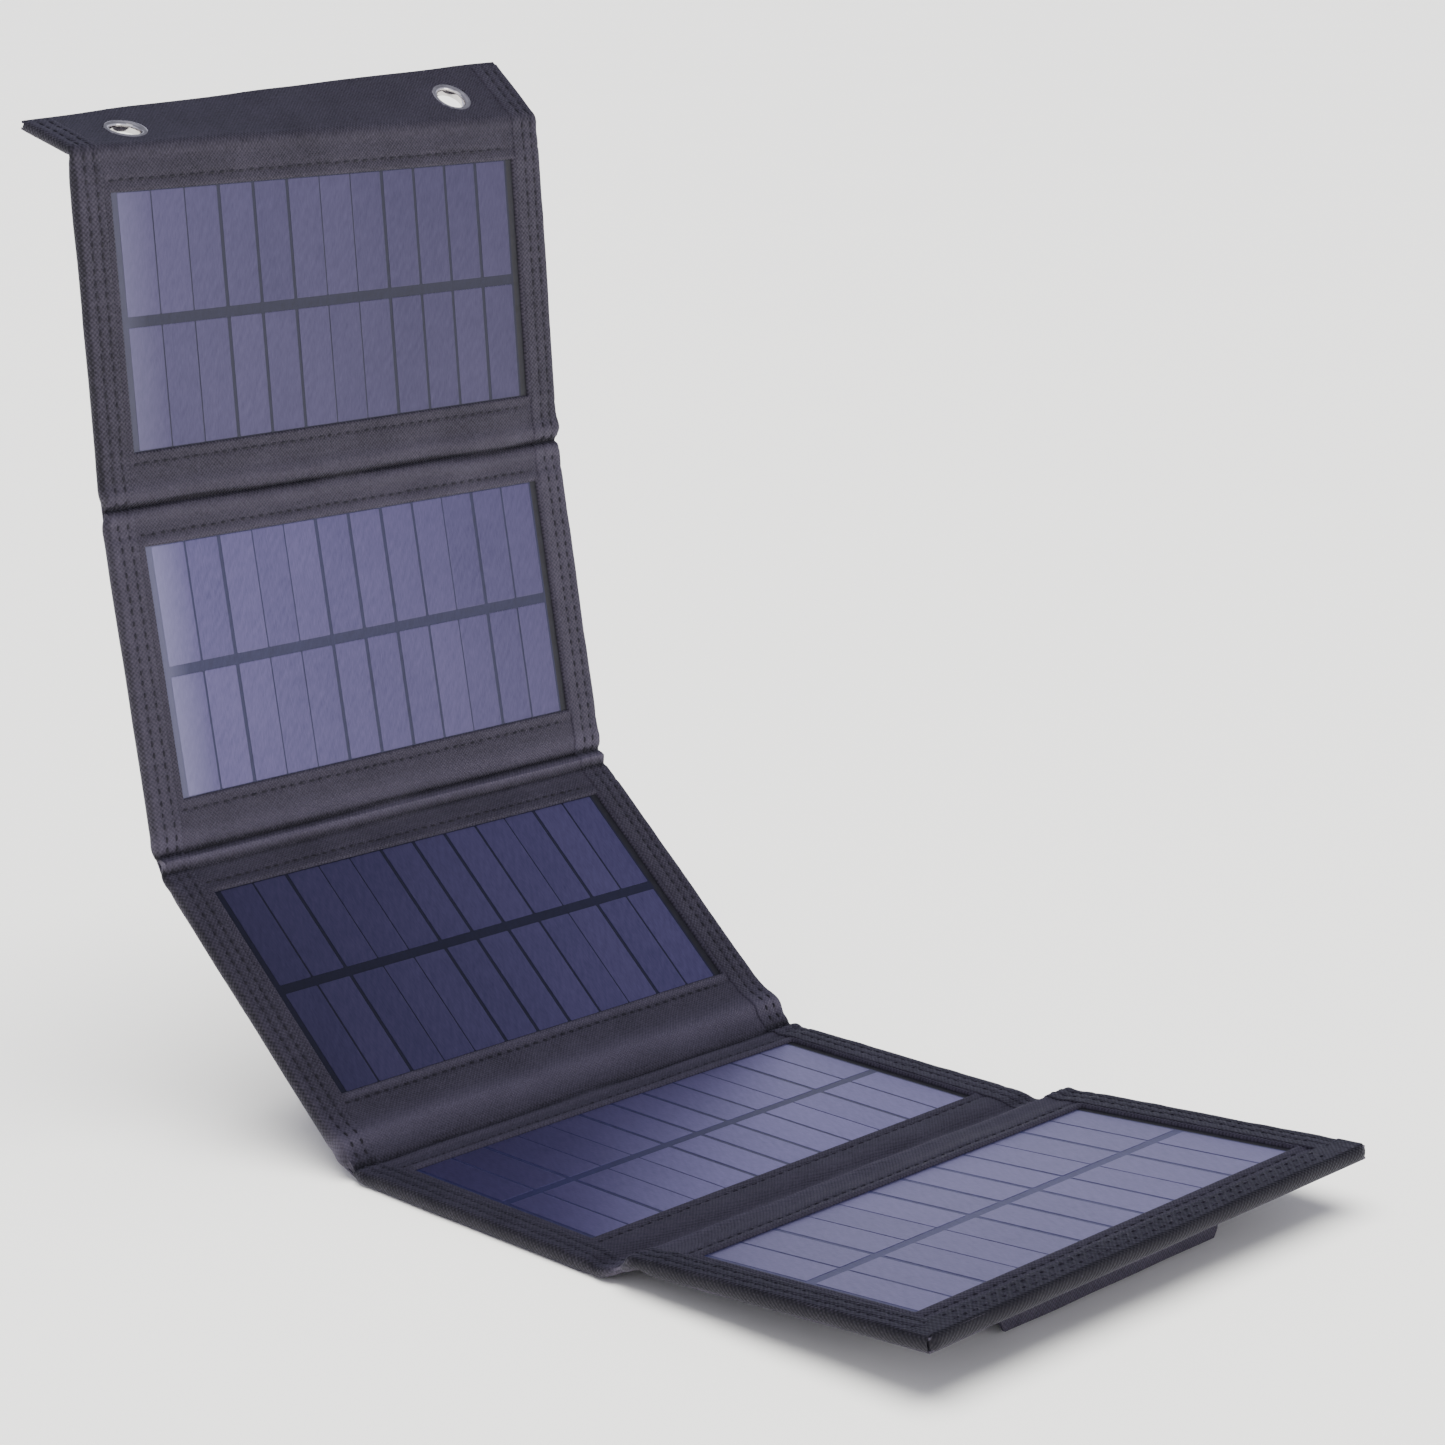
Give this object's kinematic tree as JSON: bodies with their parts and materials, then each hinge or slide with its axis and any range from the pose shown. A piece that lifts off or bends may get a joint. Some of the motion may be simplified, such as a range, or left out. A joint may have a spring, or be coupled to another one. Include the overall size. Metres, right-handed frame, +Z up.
{
  "type": "folding solar panel",
  "caption": "Folding portable solar charger: framed cell panels sewn into a fabric strip that folds like a map, with a hanging flap, eyelets and a USB pouch behind the last panel.",
  "frame": {"origin": "middle of the floor panel's underside (panel 4), on the floor", "axes": "+X to the right as the cells are faced, +Y along the floor panel towards the standing panels, +Z up"},
  "size_m": [0.153, 0.305, 0.2571],
  "materials": {
    "carrier_fabric": "matt Oxford weave",
    "edge_tape": "ribbed tape",
    "face_film": "satin clear film over dark cells",
    "backing_board": "matt black laminate",
    "solar_cell": "dark blue silicon",
    "lead_metal": "tinned copper strip",
    "eyelet_metal": "polished nickel",
    "hook_and_loop": "short napped",
    "case_plastic": "fine textured black",
    "circuit_board": "solder mask",
    "socket_steel": "stamped",
    "status_light": "translucent red"
  },
  "bodies": {
    "panel_4": {"panel_4_front_fabric": "carrier_fabric", "panel_4_back_fabric": "carrier_fabric", "panel_4_binding": "edge_tape", "panel_4_face_film": "face_film", "panel_4_board": "backing_board", "panel_4_cells": "solar_cell", "panel_4_leads": "lead_metal"},
    "panel_3": {"panel_3_front_fabric": "carrier_fabric", "panel_3_back_fabric": "carrier_fabric", "panel_3_binding": "edge_tape", "panel_3_face_film": "face_film", "panel_3_board": "backing_board", "panel_3_cells": "solar_cell", "panel_3_leads": "lead_metal"},
    "panel_2": {"panel_2_front_fabric": "carrier_fabric", "panel_2_back_fabric": "carrier_fabric", "panel_2_binding": "edge_tape", "panel_2_face_film": "face_film", "panel_2_board": "backing_board", "panel_2_cells": "solar_cell", "panel_2_leads": "lead_metal"},
    "panel_1": {"panel_1_front_fabric": "carrier_fabric", "panel_1_back_fabric": "carrier_fabric", "panel_1_binding": "edge_tape", "panel_1_face_film": "face_film", "panel_1_board": "backing_board", "panel_1_cells": "solar_cell", "panel_1_leads": "lead_metal"},
    "panel_5": {"panel_5_front_fabric": "carrier_fabric", "panel_5_back_fabric": "carrier_fabric", "panel_5_binding": "edge_tape", "panel_5_face_film": "face_film", "panel_5_board": "backing_board", "panel_5_cells": "solar_cell", "panel_5_leads": "lead_metal", "pouch_fabric": "carrier_fabric", "loop_patches": "hook_and_loop", "case_bottom": "case_plastic", "case_top": "case_plastic", "circuit_board": "circuit_board", "usb_sockets": "socket_steel", "status_light": "status_light"},
    "fold_12": {"fold_12_fabric": "carrier_fabric", "fold_12_binding": "edge_tape", "fold_12_leads": "lead_metal"},
    "fold_23": {"fold_23_fabric": "carrier_fabric", "fold_23_binding": "edge_tape", "fold_23_leads": "lead_metal"},
    "fold_34": {"fold_34_fabric": "carrier_fabric", "fold_34_binding": "edge_tape", "fold_34_leads": "lead_metal"},
    "fold_45": {"fold_45_fabric": "carrier_fabric", "fold_45_binding": "edge_tape", "fold_45_leads": "lead_metal"},
    "flap": {"flap_fabric": "carrier_fabric", "flap_binding": "edge_tape", "eyelets": "eyelet_metal", "eyelet_washers": "eyelet_metal"},
    "port_cover": {"port_cover_fabric": "carrier_fabric", "hook_patches": "hook_and_loop"}
  },
  "joints": [
    {"name": "fold_34_lower", "type": "hinge", "parent": "panel_4", "child": "fold_34", "pos_m": [0, 0.0411, 0.0018], "axis": [-1, 0, 0], "range_deg": [-69.58, 110.42]},
    {"name": "fold_34_upper", "type": "hinge", "parent": "fold_34", "child": "panel_3", "pos_m": [0, 0.04766, 0.00424], "axis": [-1, 0, 0], "range_deg": [-69.58, 110.42]},
    {"name": "fold_23_lower", "type": "hinge", "parent": "panel_3", "child": "fold_23", "pos_m": [0, 0.11642, 0.0637], "axis": [1, 0, 0], "range_deg": [-110.05, 69.95]},
    {"name": "fold_23_upper", "type": "hinge", "parent": "fold_23", "child": "panel_2", "pos_m": [0, 0.11958, 0.06938], "axis": [1, 0, 0], "range_deg": [-110.05, 69.95]},
    {"name": "fold_12_lower", "type": "hinge", "parent": "panel_2", "child": "fold_12", "pos_m": [0, 0.13295, 0.15332], "axis": [-1, 0, 0], "range_deg": [-86.88, 93.12]},
    {"name": "fold_12_upper", "type": "hinge", "parent": "fold_12", "child": "panel_1", "pos_m": [0, 0.13357, 0.15929], "axis": [-1, 0, 0], "range_deg": [-86.88, 93.12]},
    {"name": "flap_fold", "type": "hinge", "parent": "panel_1", "child": "flap", "pos_m": [0, 0.13781, 0.24588], "axis": [1, 0, 0], "range_deg": [-50.8, 169.2]},
    {"name": "fold_45_upper", "type": "hinge", "parent": "panel_4", "child": "fold_45", "pos_m": [0, -0.0465, 0.0018], "axis": [-1, 0, 0], "range_deg": [-104.1, 65.9]},
    {"name": "fold_45_lower", "type": "hinge", "parent": "fold_45", "child": "panel_5", "pos_m": [0, -0.05745, 0.0067], "axis": [-1, 0, 0], "range_deg": [-60.6, 109.4]},
    {"name": "port_cover_fold", "type": "hinge", "parent": "panel_5", "child": "port_cover", "pos_m": [0, -0.13231, 0.01015], "axis": [-1, 0, 0], "range_deg": [0, 85]}
  ]
}
